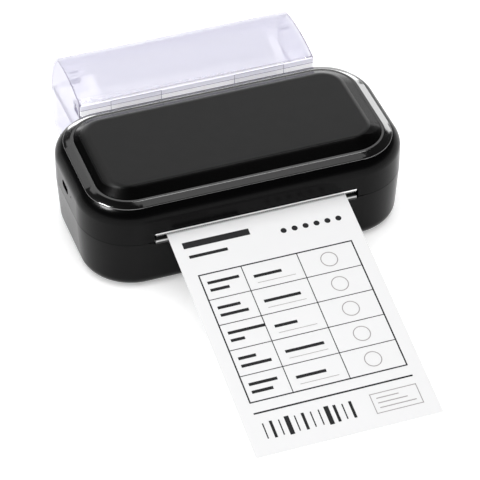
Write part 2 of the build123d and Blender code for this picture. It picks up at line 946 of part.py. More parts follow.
def hinge_pins():
    low = hinge_ear_x - hinge_ear_width / 2
    high = hinge_lug_x + hinge_knuckle_width / 2
    return [rod_x(hinge_pin_radius, *sorted((side * low, side * high)), hinge_y, hinge_z)
            for side in (-1, 1)]


def side_button(y, z, stem_length, wall_inner):
    inner = wall_inner - stem_length
    cap = Rot(0, 90, 0) * RectangleRounded(button_height, button_length,
                                           button_height / 2 - port_round)
    flange = Rot(0, 90, 0) * RectangleRounded(button_height + 2 * button_flange_lip,
                                              button_length + 2 * button_flange_lip,
                                              button_height / 2)
    cap_root = inner + button_cap_root
    button = extrude(Pos(cap_root, y, z) * cap, body_width / 2 - cap_root)
    button = chamfer(button.edges().group_by(Axis.X)[-1], button_edge)
    flange_x = wall_inner - button_flange_gap - button_flange
    button += extrude(Pos(flange_x, y, z) * flange, button_flange)
    return button + rod_x(button_stem_radius, inner, cap_root + over / 2, y, z)


def power_button():
    return side_button(power_button_y, power_button_z, button_stem_length, button_wall_x)


def release_button():
    lean = (seam_height - release_button_z) * math.tan(math.radians(base_draft))
    return side_button(release_button_y, release_button_z, button_stem_length + release_travel,
                       button_wall_x - lean - release_wall_gap)


def key_board():
    tip = button_wall_x - button_stem_length - button_travel - switch_gap
    switch_top = tip - plunger_height
    face = switch_top - switch_height
    half = switch_size / 2
    board = block((face - key_board_thickness, power_button_y - key_board_length / 2,
                   power_button_z - key_board_drop),
                  (face, power_button_y + key_board_length / 2, cover_ceiling))
    switch = block((face, power_button_y - half, power_button_z - half),
                   (switch_top, power_button_y + half, power_button_z + half))
    plunger = rod_x(plunger_radius, switch_top, tip, power_button_y, power_button_z)
    return board + switch + plunger


def ribbon(points, thickness):
    upper, lower = [], []
    for index, (y, z) in enumerate(points):
        before = points[max(index - 1, 0)]
        after = points[min(index + 1, len(points) - 1)]
        dy, dz = after[0] - before[0], after[1] - before[1]
        length = math.hypot(dy, dz)
        ny, nz = -dz / length * thickness / 2, dy / length * thickness / 2
        upper.append((y + ny, z + nz))
        lower.append((y - ny, z - nz))
    return upper + lower[::-1]


def roll_tangent(from_y, from_z):
    reach = roll_radius + roll_wrap_gap + paper_thickness / 2
    dy, dz = roll_y - from_y, roll_z - from_z
    span = math.hypot(dy, dz)
    run = math.sqrt(span ** 2 - reach ** 2)
    angle = math.atan2(dz, dy) + math.asin(reach / span)
    return from_y + run * math.cos(angle), from_z + run * math.sin(angle)


def printed_paper():
    turn_y = bin_front_y + bin_wall + slot_entry_gap
    points = [roll_tangent(turn_y, web_z), (turn_y, web_z), (platen_y, web_z)]
    for share in (0.5, 1.0):
        angle = slope * share
        points.append((platen_y - bend_radius * math.sin(angle),
                       platen_z + bend_radius * math.cos(angle)))
    points.append((sheet_end_y, sheet_end_z))
    return profile_x(ribbon(points, paper_thickness), -paper_width / 2, paper_width / 2)


def bin_outline(inset, front_y):
    low = bin_parting_back - bin_skirt
    top = bin_top_height - inset
    back_y = bin_back_y - inset
    front_top = (front_y, top - bin_front_drop)
    crown = (bin_front_y + bin_crown_setback, top)
    back_top = (bin_back_y - bin_shoulder_setback - bin_shoulder_inset * inset,
                top - bin_shoulder_drop)
    back_swell = (back_y - bin_swell_setback, bin_swell_height - bin_swell_inset * inset)
    back_low = (back_y, bin_parting_back + bin_heel_height)
    corner_back = (back_y, low)
    corner_front = (front_y, low)
    edges = [ThreePointArc((0, *front_top), (0, *crown), (0, *back_top)),
             ThreePointArc((0, *back_top), (0, *back_swell), (0, *back_low)),
             Line((0, *back_low), (0, *corner_back)),
             Line((0, *corner_back), (0, *corner_front)),
             Line((0, *corner_front), (0, *front_top))]
    return make_face(edges)


def bin_half(face, half_width):
    return Pos(-half_width, 0, 0) * extrude(face, 2 * half_width, dir=(1, 0, 0))


def above_parting(gap):
    front = bin_front_y - 2 * over
    back = bin_back_y + bin_parting_reach
    high = bin_top_height + bin_parting_reach
    points = [(front, bin_parting_front + gap), (bin_back_y, bin_parting_back + gap),
              (back, bin_parting_back + gap), (back, high), (front, high)]
    return profile_x(points, -bin_width, bin_width)


def bin_knuckles(first_x, wall_side):
    root_y = bin_back_y - bin_wall / 2
    foot_z = bin_hinge_z + wall_side * bin_knuckle_foot
    foot = [(root_y, bin_hinge_z), (bin_hinge_y + bin_knuckle_radius, bin_hinge_z),
            (bin_back_y, foot_z), (root_y, foot_z)]
    parts = []
    for side in (-1, 1):
        low = side * first_x - bin_hinge_width / 2
        high = low + bin_hinge_width
        parts.append(rod_x(bin_knuckle_radius, low, high, bin_hinge_y, bin_hinge_z)
                     + profile_x(foot, low, high))
    return parts


def bin_knuckle_clearance(first_x):
    half = bin_hinge_width / 2 + bin_gap
    return mirrored(rod_x(bin_knuckle_radius + bin_gap, first_x - half, first_x + half,
                          bin_hinge_y, bin_hinge_z))


def bin_hinge_bore():
    return mirrored(rod_x(bin_hinge_radius + running_clearance, bin_hinge_x - bin_hinge_width,
                          bin_hinge_x + 2 * bin_hinge_width, bin_hinge_y, bin_hinge_z))


def bin_catch(side):
    middle = side * (bin_width / 2 - bin_catch_inset)
    ceiling = bin_top_height - bin_wall
    y = bin_front_y + bin_catch_setback
    return block((middle - bin_catch_width / 2, y - bin_catch_depth / 2,
                  ceiling - bin_catch_height),
                 (middle + bin_catch_width / 2, y + bin_catch_depth / 2,
                  ceiling + bin_catch_root))


def bin_cover():
    half = bin_width / 2
    front_y = bin_front_y + bin_cover_setback
    shell = bin_half(bin_outline(0, front_y), half)
    shell -= bin_half(bin_outline(bin_wall, front_y - 2 * over), half - bin_wall)
    shell &= above_parting(bin_gap)
    shell -= bin_knuckle_clearance(bin_hinge_x)
    shell -= block((-bin_width, bin_window_y - bin_window_width / 2,
                    bin_window_z - bin_window_height / 2),
                   (bin_width, bin_window_y + bin_window_width / 2,
                    bin_window_z + bin_window_height / 2))
    for knuckle in bin_knuckles(bin_cover_x, 1):
        shell += knuckle
    for side in (-1, 1):
        shell += bin_catch(side)
    return shell - bin_hinge_bore()


def bin_tub():
    half = bin_width / 2
    high = bin_parting_front + bin_tray_overlap
    outer = block((-half, bin_front_y, 0), (half, bin_back_y, high))
    outer = fillet(outer.edges().filter_by(Axis.X).group_by(Axis.Z)[0], bin_floor_corner)
    inner = block((-half + bin_wall, bin_front_y + bin_wall, bin_wall),
                  (half - bin_wall, bin_back_y - bin_wall, high + over))
    inner = fillet(inner.edges().filter_by(Axis.X).group_by(Axis.Z)[0],
                   bin_floor_corner - bin_wall)
    return outer - inner - above_parting(0)


def bin_tray():
    half = bin_width / 2
    tray = bin_tub()
    wall_half = half - bin_wall - bin_gap
    wall_back = bin_front_y + bin_wall
    tray += block((-wall_half, bin_front_y, bin_parting_front - bin_tray_overlap),
                  (wall_half, wall_back, bin_front_height))
    for side in (-1, 1):
        low_x = side * bin_tab_x - bin_tab_width / 2
        high_x = low_x + bin_tab_width
        tray += block((low_x, bin_front_y, bin_front_height),
                      (high_x, wall_back, bin_front_height + bin_tab_height))
        tray += block((low_x, body_depth / 2, seam_height - bin_tray_overlap),
                      (high_x, bin_front_y, rear_slot_low - over / 2))
    tray -= rear_slot()
    tray += block((-half + bin_wall, roll_y - rail_width / 2, bin_wall),
                  (half - bin_wall, roll_y + rail_width / 2, bin_wall + rail_height))
    tray -= bin_knuckle_clearance(bin_cover_x)
    for knuckle in bin_knuckles(bin_hinge_x, -1):
        tray += knuckle
    return tray - bin_hinge_bore()


def bin_hinge_pins():
    low = bin_hinge_x - bin_hinge_width / 2
    high = bin_cover_x + bin_hinge_width / 2
    return [rod_x(bin_hinge_radius, *sorted((side * low, side * high)), bin_hinge_y, bin_hinge_z)
            for side in (-1, 1)]


def paper_roll():
    half = paper_width / 2
    return rod_x(roll_radius, -half, half, roll_y, roll_z) \
        - rod_x(core_outer_radius, -half - over, half + over, roll_y, roll_z)


def roll_core():
    half = paper_width / 2
    return rod_x(core_outer_radius, -half, half, roll_y, roll_z) \
        - rod_x(core_inner_radius, -half - over, half + over, roll_y, roll_z)


def guide_outline(inset, low, high, step):
    half = guide_base_length / 2 - inset
    neck = guide_neck_width / 2 - inset
    top = guide_top_width / 2 - inset
    rising = [(-half, step), (-neck, high - guide_top_bevel), (-top, high)]
    falling = [(-y, z) for y, z in reversed(rising)]
    return [(roll_y + y, z) for y, z in [(-half, low)] + rising + falling + [(half, low)]]


def guide_plate(inner):
    floor = bin_wall + guide_floor_gap
    step = floor + guide_step_height
    outer = inner + guide_thickness
    plate = profile_x(guide_outline(0, floor, guide_top_z, step), inner, outer)
    half = guide_base_length / 2 - guide_wall
    neck = guide_neck_width / 2 - guide_wall
    pocket_low = step - guide_pocket_floor
    pocket_high = guide_top_z - guide_pocket_top
    pocket = [(roll_y - half, pocket_low), (roll_y - neck, pocket_high),
              (roll_y + neck, pocket_high), (roll_y + half, pocket_low)]
    plate -= profile_x(pocket, inner + guide_wall, outer + over)
    notch = rail_width / 2 + rail_clearance
    return plate - block((inner - over, roll_y - notch, floor - over),
                         (outer + over, roll_y + notch, floor + rail_height))


def roll_guide(side):
    inner = paper_width / 2 + guide_clearance
    plate = guide_plate(inner)
    hub = rod_x(core_inner_radius - hub_clearance, inner - guide_hub_length, inner + hub_root,
                roll_y, roll_z)
    bore = rod_x(hub_bore_radius, inner - guide_hub_length - over, inner + guide_thickness + over,
                 roll_y, roll_z)
    guide = plate + hub - bore
    return guide if side > 0 else mirror(guide, about=Plane.YZ)


def save(name, shape):
    solids = shape if isinstance(shape, list) else [shape]
    placed = [place(solid) for solid in solids]
    result = placed[0] if len(placed) == 1 else Compound(children=placed)
    export_step(result, os.path.join("parts", name + ".step"))


def main():
    os.makedirs("parts", exist_ok=True)
    save("lower_housing", lower_housing())
    save("upper_housing", upper_housing())
    save("bevel_ring", bevel_ring())
    save("top_pad", top_pad())
    save("inner_frame", inner_frame())
    save("motor_pinion", motor_pinion())
    save("idler_gear", idler_gear())
    save("platen_gear", platen_gear())
    save("platen_shaft", platen_shaft())
    save("platen_rubber", platen_rubber())
    save("platen_bush_left", platen_bush(-1))
    save("platen_bush_right", platen_bush(1))
    save("stepper_motor", stepper_motor())
    save("battery", battery())
    save("paper_sensor", paper_sensor())
    save("paper_trough", paper_trough())
    save("tear_bar", tear_bar())
    save("lower_lip", lower_lip())
    save("print_head", print_head())
    save("head_bracket", head_bracket())
    save("head_springs", head_springs())
    save("main_board", main_board())
    save("usb_receptacle", usb_receptacle())
    save("status_light", status_light())
    save("base_screws", base_screws())
    save("board_screws", board_screws())
    save("rubber_feet", rubber_feet())
    save("hinge_pins", hinge_pins())
    save("power_button", power_button())
    save("release_button", release_button())
    save("key_board", key_board())
    save("printed_paper", printed_paper())
    save("bin_cover", bin_cover())
    save("bin_tray", bin_tray())
    save("bin_hinge_pins", bin_hinge_pins())
    save("paper_roll", paper_roll())
    save("roll_core", roll_core())
    save("roll_guide_left", roll_guide(-1))
    save("roll_guide_right", roll_guide(1))


if __name__ == "__main__":
    main()
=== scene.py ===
import math

import bmesh
import bpy
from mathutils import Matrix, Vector


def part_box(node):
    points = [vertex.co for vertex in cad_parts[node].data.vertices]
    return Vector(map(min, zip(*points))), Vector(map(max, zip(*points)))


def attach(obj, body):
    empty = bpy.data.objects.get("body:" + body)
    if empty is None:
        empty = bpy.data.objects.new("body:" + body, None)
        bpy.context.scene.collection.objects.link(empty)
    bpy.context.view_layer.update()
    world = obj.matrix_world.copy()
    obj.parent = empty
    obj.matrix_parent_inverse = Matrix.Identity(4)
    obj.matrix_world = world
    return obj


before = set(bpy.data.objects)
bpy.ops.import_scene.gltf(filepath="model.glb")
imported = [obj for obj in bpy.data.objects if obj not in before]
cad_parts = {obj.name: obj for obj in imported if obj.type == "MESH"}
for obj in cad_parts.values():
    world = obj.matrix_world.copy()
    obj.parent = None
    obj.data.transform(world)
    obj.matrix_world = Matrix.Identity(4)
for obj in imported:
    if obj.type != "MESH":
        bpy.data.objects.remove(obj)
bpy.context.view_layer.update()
MM = 0.001

# Camera that matches the photograph: a long lens, seen from the front left and above
CAMERA_LENS = 202.5
CAMERA_SENSOR = 36.0
CAMERA_AZIMUTH = math.radians(-19.45)
CAMERA_ELEVATION = math.radians(40.2)
CAMERA_DISTANCE = 1.518
BODY_CENTRE_Y = (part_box("top_pad")[0][1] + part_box("top_pad")[1][1]) / 2
CAMERA_TARGET = Vector((-0.002, BODY_CENTRE_Y - 0.0261, 0.0))


def add_camera():
    back = Vector((math.sin(CAMERA_AZIMUTH) * math.cos(CAMERA_ELEVATION),
                   -math.cos(CAMERA_AZIMUTH) * math.cos(CAMERA_ELEVATION),
                   math.sin(CAMERA_ELEVATION)))
    data = bpy.data.cameras.new("camera")
    data.lens = CAMERA_LENS
    data.sensor_width = CAMERA_SENSOR
    data.clip_end = 20.0
    camera = bpy.data.objects.new("camera", data)
    camera.location = CAMERA_TARGET + back * CAMERA_DISTANCE
    camera.rotation_euler = (-back).to_track_quat("-Z", "Y").to_euler()
    bpy.context.scene.collection.objects.link(camera)
    bpy.context.scene.camera = camera


LIGHT_TARGET = Vector((0.0, 0.03, 0.02))
# Softboxes that light matt surfaces and don't show in glossy ones: name, place, size, power
FILLS = (
    ("top_fill", (0.0, -0.2, 2.2), (3.0, 3.0), 62.0),
    ("left_fill", (-1.6, -0.3, 0.9), (1.0, 1.0), 9.0),
    ("front_fill", (0.3, -1.8, 0.9), (1.2, 1.0), 9.0),
    ("rear_fill", (0.2, 1.8, 0.9), (1.2, 1.0), 6.0),
)
# Softboxes that show in the glossy shell, ring and pad and don't light matt surfaces
REFLECTIONS = (
    ("rear_softbox", (0.08, 1.13, 1.02), (1.06, 0.55), 1.1),
    ("rear_right_softbox", (0.92, 1.15, 0.60), (0.62, 0.38), 2.8),
    ("top_softbox", (0.48, 0.80, 1.65), (0.5, 0.25), 2.0),
    ("overhead_softbox", (0.50, 0.35, 1.90), (0.7, 0.4), 0.4),
    ("corner_glint", (-0.82, 0.10, 1.28), (0.42, 0.30), 34.0),
    ("rear_strip", (0.40, 1.50, 0.33), (1.3, 0.25), 6.0),
)


def add_area(name, location, size, power, matt, sheen):
    """A softbox, which lights matt surfaces or shows in glossy ones."""
    data = bpy.data.lights.new(name, "AREA")
    data.shape = "RECTANGLE"
    data.size, data.size_y = size
    data.energy = power
    light = bpy.data.objects.new(name, data)
    light.location = location
    aim = LIGHT_TARGET - Vector(location)
    light.rotation_euler = aim.to_track_quat("-Z", "Y").to_euler()
    light.visible_diffuse = matt
    light.visible_glossy = sheen
    bpy.context.scene.collection.objects.link(light)


def add_lights():
    for light in FILLS:
        add_area(*light, matt=True, sheen=False)
    for light in REFLECTIONS:
        add_area(*light, matt=False, sheen=True)


# How bright the studio is from the horizon (and below it) up to overhead
WORLD_STOPS = ((0.0, 1.0), (0.12, 0.9), (0.24, 0.22), (0.45, 0.06), (1.0, 0.02))
WORLD_STRENGTH = 1.35


def set_world():
    world = bpy.data.worlds.new("studio")
    bpy.context.scene.world = world
    world.use_nodes = True
    nodes, links = world.node_tree.nodes, world.node_tree.links
    nodes.clear()
    place = nodes.new("ShaderNodeTexCoord")
    split = nodes.new("ShaderNodeSeparateXYZ")
    ramp = nodes.new("ShaderNodeValToRGB")
    sky = nodes.new("ShaderNodeBackground")
    out = nodes.new("ShaderNodeOutputWorld")
    links.new(place.outputs["Generated"], split.inputs[0])
    links.new(split.outputs["Z"], ramp.inputs["Fac"])
    links.new(ramp.outputs["Color"], sky.inputs["Color"])
    links.new(sky.outputs[0], out.inputs[0])
    band = ramp.color_ramp
    while len(band.elements) < len(WORLD_STOPS):
        band.elements.new(0.5)
    for element, (where, level) in zip(band.elements, WORLD_STOPS):
        element.position = where
        element.color = (level, level, level, 1.0)
    sky.inputs["Strength"].default_value = WORLD_STRENGTH


def new_material(name):
    material = bpy.data.materials.new(name)
    material.use_nodes = True
    shader = material.node_tree.nodes["Principled BSDF"]
    return material, material.node_tree.nodes, material.node_tree.links, shader


def noise_between(nodes, links, scale, low, high, detail=3.0):
    place = nodes.new("ShaderNodeTexCoord")
    noise = nodes.new("ShaderNodeTexNoise")
    noise.inputs["Scale"].default_value = scale
    noise.inputs["Detail"].default_value = detail
    spread = nodes.new("ShaderNodeMapRange")
    spread.inputs["To Min"].default_value = low
    spread.inputs["To Max"].default_value = high
    links.new(place.outputs["Object"], noise.inputs["Vector"])
    links.new(noise.outputs["Fac"], spread.inputs["Value"])
    return spread.outputs["Result"], noise.outputs["Fac"]


def add_bump(nodes, links, shader, height, strength, distance):
    bump = nodes.new("ShaderNodeBump")
    bump.inputs["Strength"].default_value = strength
    bump.inputs["Distance"].default_value = distance
    links.new(height, bump.inputs["Height"])
    links.new(bump.outputs["Normal"], shader.inputs["Normal"])


FINE_GRAIN = 2500.0
BLOTCH = 30.0


def moulded(name, colour, rough=(0.3, 0.4), grain=FINE_GRAIN, grain_depth=0.00001,
            specular=0.5, metal=0.0, spread=0.12):
    """A moulded or cast finish with slightly uneven colour and gloss and a fine grain."""
    material, nodes, links, shader = new_material(name)
    tone, _ = noise_between(nodes, links, BLOTCH, 1.0 - spread, 1.0 + spread)
    mix = nodes.new("ShaderNodeVectorMath")
    mix.operation = "SCALE"
    mix.inputs[0].default_value = colour
    links.new(tone, mix.inputs["Scale"])
    links.new(mix.outputs["Vector"], shader.inputs["Base Color"])
    rough_value, _ = noise_between(nodes, links, BLOTCH * 4, *rough)
    links.new(rough_value, shader.inputs["Roughness"])
    _, fine = noise_between(nodes, links, grain, 0.0, 1.0, detail=1.0)
    add_bump(nodes, links, shader, fine, 0.5, grain_depth)
    shader.inputs["Metallic"].default_value = metal
    shader.inputs["Specular IOR Level"].default_value = specular
    return material


def clear_plastic(name, tint, rough, body, edge):
    """Thin clear moulding: see-through face on, milkier and more tinted at its edges."""
    material, nodes, links, shader = new_material(name)
    rough_value, fine = noise_between(nodes, links, 60.0, rough, rough + 0.06)
    links.new(rough_value, shader.inputs["Roughness"])
    shader.inputs["Base Color"].default_value = (*tint, 1.0)
    facing = nodes.new("ShaderNodeLayerWeight")
    facing.inputs["Blend"].default_value = 0.35
    cover = nodes.new("ShaderNodeMapRange")
    cover.inputs["To Min"].default_value = body
    cover.inputs["To Max"].default_value = edge
    links.new(facing.outputs["Facing"], cover.inputs["Value"])
    links.new(cover.outputs["Result"], shader.inputs["Alpha"])
    add_bump(nodes, links, shader, fine, 0.2, 0.00002)
    return material


def plan_mask(nodes, links, box, margins, corner, soft):
    """1 inside a rounded rectangle seen from above, 0 outside it, in the node's coordinates."""
    (low_x, low_y), (high_x, high_y) = box
    left, right, front, rear = (margin * MM for margin in margins)
    low, high = Vector((low_x + left, low_y + front, 0)), Vector((high_x - right, high_y - rear, 0))
    centre, half = (low + high) / 2, (high - low) / 2
    inner = (half.x - corner, half.y - corner, 1.0)
    result = nodes.new("ShaderNodeTexCoord").outputs["Object"]
    for operation, other in (("SUBTRACT", centre), ("ABSOLUTE", None), ("SUBTRACT", inner),
                             ("MAXIMUM", (0.0, 0.0, 0.0)), ("LENGTH", None)):
        step = nodes.new("ShaderNodeVectorMath")
        step.operation = operation
        links.new(result, step.inputs[0])
        if other is not None:
            step.inputs[1].default_value = other
        result = step.outputs["Value" if operation == "LENGTH" else "Vector"]
    level = nodes.new("ShaderNodeMapRange")
    level.inputs["From Min"].default_value = corner - soft
    level.inputs["From Max"].default_value = corner + soft
    level.inputs["To Min"].default_value = 1.0
    level.inputs["To Max"].default_value = 0.0
    links.new(result, level.inputs["Value"])
    return level.outputs["Result"]


def blend_number(nodes, links, mask, off, on, tone):
    """A number that goes from off to on with the mask, varied by a tone near 1."""
    level = nodes.new("ShaderNodeMapRange")
    level.inputs["To Min"].default_value = off
    level.inputs["To Max"].default_value = on
    links.new(mask, level.inputs["Value"])
    product = nodes.new("ShaderNodeMath")
    product.operation = "MULTIPLY"
    links.new(level.outputs["Result"], product.inputs[0])
    links.new(tone, product.inputs[1])
    return product.outputs[0]


# Millimetres inside the pad's outline where a finish stops, at its left, right, front and rear
PAD_GREY_MARGINS = (3.1, 0.4, 8.2, 1.2)
PAD_MATT_MARGINS = (5.0, 7.0, 8.2, 6.0)
PAD_FINISH_CORNER = 12.0 * MM
# How soft the line between each pair of finishes is, and the pair: at the edges, then inside
PAD_TONE_BLUR, PAD_EDGE_TONE, PAD_TOP_TONE = 0.25 * MM, 0.001, 0.0080
PAD_GLOSS_BLUR, PAD_EDGE_ROUGH, PAD_TOP_ROUGH = 2.0 * MM, 0.18, 0.58


def pad_material(name):
    """Satin black pad whose top face is matt and greyer up to near its edges."""
    material, nodes, links, shader = new_material(name)
    points = [vertex.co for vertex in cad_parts["top_pad"].data.vertices]
    box = ((min(p.x for p in points), min(p.y for p in points)),
           (max(p.x for p in points), max(p.y for p in points)))
    tone, _ = noise_between(nodes, links, BLOTCH, 0.97, 1.03)
    grey = plan_mask(nodes, links, box, PAD_GREY_MARGINS, PAD_FINISH_CORNER, PAD_TONE_BLUR)
    colour = blend_number(nodes, links, grey, PAD_EDGE_TONE, PAD_TOP_TONE, tone)
    links.new(colour, shader.inputs["Base Color"])
    matt = plan_mask(nodes, links, box, PAD_MATT_MARGINS, PAD_FINISH_CORNER, PAD_GLOSS_BLUR)
    uneven, _ = noise_between(nodes, links, BLOTCH * 4, 0.92, 1.08)
    rough = blend_number(nodes, links, matt, PAD_EDGE_ROUGH, PAD_TOP_ROUGH, uneven)
    links.new(rough, shader.inputs["Roughness"])
    _, fine = noise_between(nodes, links, FINE_GRAIN, 0.0, 1.0, detail=1.0)
    add_bump(nodes, links, shader, fine, 0.5, 0.000004)
    shader.inputs["Specular IOR Level"].default_value = 0.15
    return material


BRUSH_GRAIN = 900.0
BRUSH_ROUGH = (0.22, 0.38)
# The heights over the tear bar's lower edge between which the painted shade on its teeth fades into
# the plain bar
TEETH_RISE = (1.0 * MM, 1.3 * MM)
TEETH_SHADE_TONE, BAR_TONE = 0.28, 0.86


def comb_material(name):
    """Bright bar whose teeth along its lower edge are painted darker: painted shade for the shaded
    row under the serration.
    """
    material, nodes, links, shader = new_material(name)
    low = min(vertex.co.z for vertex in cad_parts["tear_bar"].data.vertices)
    split = nodes.new("ShaderNodeSeparateXYZ")
    links.new(nodes.new("ShaderNodeTexCoord").outputs["Object"], split.inputs[0])
    level = nodes.new("ShaderNodeMapRange")
    level.inputs["From Min"].default_value = low + TEETH_RISE[0]
    level.inputs["From Max"].default_value = low + TEETH_RISE[1]
    level.inputs["To Min"].default_value = TEETH_SHADE_TONE
    level.inputs["To Max"].default_value = BAR_TONE
    links.new(split.outputs["Z"], level.inputs["Value"])
    links.new(level.outputs["Result"], shader.inputs["Base Color"])
    rough_value, fine = noise_between(nodes, links, BRUSH_GRAIN, *BRUSH_ROUGH)
    links.new(rough_value, shader.inputs["Roughness"])
    shader.inputs["Metallic"].default_value = 1.0
    add_bump(nodes, links, shader, fine, 0.3, 0.00001)
    return material


def paper_material(name):
    return moulded(name, (0.75, 0.75, 0.755), rough=(0.5, 0.65), grain=1800.0,
                   grain_depth=0.000006, specular=0.3, spread=0.01)


def painted_glow(material, strength):
    """Painted light: a little emission that brightens what stands in shade, under the clear cover
    or in the gap behind the body.
    """
    shader = material.node_tree.nodes["Principled BSDF"]
    shader.inputs["Emission Color"].default_value = (0.98, 0.97, 1.0, 1.0)
    shader.inputs["Emission Strength"].default_value = strength
    return material


def brushed(name, colour, axis_stretch, rough=BRUSH_ROUGH):
    """Bare metal whose grain runs one way."""
    material, nodes, links, shader = new_material(name)
    place = nodes.new("ShaderNodeTexCoord")
    stretch = nodes.new("ShaderNodeMapping")
    stretch.inputs["Scale"].default_value = axis_stretch
    noise = nodes.new("ShaderNodeTexNoise")
    noise.inputs["Scale"].default_value = BRUSH_GRAIN
    links.new(place.outputs["Object"], stretch.inputs["Vector"])
    links.new(stretch.outputs["Vector"], noise.inputs["Vector"])
    spread = nodes.new("ShaderNodeMapRange")
    spread.inputs["To Min"].default_value = rough[0]
    spread.inputs["To Max"].default_value = rough[1]
    links.new(noise.outputs["Fac"], spread.inputs["Value"])
    links.new(spread.outputs["Result"], shader.inputs["Roughness"])
    shader.inputs["Base Color"].default_value = (*colour, 1.0)
    shader.inputs["Metallic"].default_value = 1.0
    add_bump(nodes, links, shader, noise.outputs["Fac"], 0.3, 0.00001)
    return material


def build_materials():
    return {
        "shell": moulded("satin_black_shell", (0.0010, 0.0010, 0.0011), rough=(0.17, 0.23),
                         specular=0.10, grain_depth=0.000004),
        "bevel": moulded("dark_chrome_bevel", (0.15, 0.15, 0.15), rough=(0.09, 0.13),
                         grain_depth=0.000001, specular=0.5, spread=0.05, metal=1.0),
        "pad": pad_material("satin_black_pad"),
        "comb": comb_material("tear_bar_steel"),
        # Matt near-black for the seam: painted shade in the gap between the body's halves
        "seam": moulded("seam_gap_painted_shade", (0.0008, 0.0008, 0.0008), rough=(0.8, 0.95), specular=0.02),
        # Painted light: the lip and brow glow a little where they stand in shade behind the body;
        # the lip is also whiter and glows most, for the bright band along the cover's front
        "lip": painted_glow(clear_plastic("clear_lip_painted_glow", (0.97, 0.97, 0.99), 0.10, 0.80, 0.95), 0.35),
        "brow": painted_glow(clear_plastic("clear_brow_painted_glow", (0.84, 0.83, 0.94), 0.06, 0.75, 0.95), 0.20),
        # Pale grey for the paper lip's sloping edge: a painted highlight
        "lip_line": moulded("lip_nose_painted_highlight", (0.62, 0.62, 0.62), rough=(0.3, 0.4), spread=0.03),
        "frame": moulded("moulded_black_frame", (0.025, 0.025, 0.025), rough=(0.45, 0.6)),
        "rubber": moulded("soft_rubber", (0.018, 0.018, 0.018), rough=(0.6, 0.75)),
        "acetal": moulded("natural_acetal", (0.78, 0.77, 0.72), rough=(0.35, 0.5), spread=0.03),
        "steel": brushed("bright_steel", (0.62, 0.62, 0.64), (0.05, 1.0, 1.0)),
        "aluminium": brushed("bare_aluminium", (0.86, 0.86, 0.87), (0.03, 1.0, 1.0)),
        "brass": brushed("sintered_brass", (0.68, 0.50, 0.24), (1.0, 1.0, 1.0), (0.4, 0.6)),
        "ceramic": moulded("glazed_ceramic", (0.55, 0.50, 0.42), rough=(0.15, 0.3)),
        "board": moulded("green_board", (0.02, 0.12, 0.05), rough=(0.3, 0.45)),
        "battery": moulded("battery_wrap", (0.05, 0.09, 0.16), rough=(0.25, 0.4)),
        "clear": clear_plastic("clear_violet_plastic", (0.74, 0.73, 0.86), 0.06, 0.24, 0.68),
        # Darker violet for the clear moulding's edges, outlines and tab sides: painted shade where
        # they look dark
        "rim": clear_plastic("violet_edge_painted_shade", (0.30, 0.28, 0.38), 0.15, 0.70, 0.95),
        # Painted light: the guides and the roll glow a little to make up for the cover's shade
        "guide": painted_glow(clear_plastic("frosted_violet_plastic_painted_glow", (1.0, 1.0, 1.0), 0.22, 0.85, 0.95),
                      0.22),
        "paper": paper_material("thermal_paper"),
        "roll": painted_glow(paper_material("roll_paper_painted_glow"), 0.10),
        "core": moulded("card_core", (0.42, 0.33, 0.22), rough=(0.7, 0.85)),
        "light": clear_plastic("light_pipe", (0.85, 0.9, 1.0), 0.2, 0.4, 0.8),
        "ink": moulded("print_ink", (0.012, 0.012, 0.013), rough=(0.5, 0.6), specular=0.2),
        "pale_ink": moulded("pale_print_ink", (0.33, 0.31, 0.31), rough=(0.5, 0.6), specular=0.2),
    }


NODE_FINISH = {
    "shell": ("lower_housing", "upper_housing", "power_button", "release_button"),
    "bevel": ("bevel_ring",),
    "pad": ("top_pad",),
    "frame": ("inner_frame", "paper_sensor", "paper_trough"),
    "rubber": ("rubber_feet", "platen_rubber"),
    "acetal": ("idler_gear", "platen_gear"),
    "steel": ("motor_pinion", "platen_shaft", "stepper_motor", "head_springs", "usb_receptacle",
              "base_screws", "board_screws", "hinge_pins", "bin_hinge_pins"),
    "comb": ("tear_bar",),
    "aluminium": ("lower_lip", "head_bracket"),
    "brass": ("platen_bush_left", "platen_bush_right"),
    "ceramic": ("print_head",),
    "board": ("main_board", "key_board"),
    "battery": ("battery",),
    "clear": ("bin_cover", "bin_tray"),
    "guide": ("roll_guide_left", "roll_guide_right"),
    "paper": ("printed_paper",),
    "roll": ("paper_roll",),
    "core": ("roll_core",),
    "light": ("status_light",),
}


def finish_nodes(materials):
    """Gives each CAD node its finish, whichever slots it comes with."""
    for finish, names in NODE_FINISH.items():
        for name in names:
            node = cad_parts[name]
            if not node.material_slots:
                node.data.materials.append(materials[finish])
            for slot in node.material_slots:
                slot.material = materials[finish]


SHEET_SLOPE = math.radians(13.66)
SHEET_FOOT_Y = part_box("printed_paper")[0][1]
SHEET_THICKNESS = 0.2 * MM
INK_LIFT = 0.03 * MM


def on_sheet(across, up):
    """A point on the printed side, from millimetres off the sheet's middle and lower edge."""
    across, up = across * MM, up * MM
    run = up * math.cos(SHEET_SLOPE)
    rise = up * math.sin(SHEET_SLOPE)
    lift = SHEET_THICKNESS / 2 + INK_LIFT
    return Vector((across, SHEET_FOOT_Y + run - lift * math.sin(SHEET_SLOPE),
                   SHEET_THICKNESS + rise + lift * math.cos(SHEET_SLOPE)))


def ink_strip(mesh, start, end, width):
    """A straight stroke with square ends half its width beyond its two points."""
    a, b = Vector(start), Vector(end)
    along = (b - a).normalized() * width / 2
    side = Vector((-along.y, along.x))
    corners = [a - along + side, a - along - side, b + along - side, b + along + side]
    mesh.faces.new([mesh.verts.new(on_sheet(*corner)) for corner in corners])


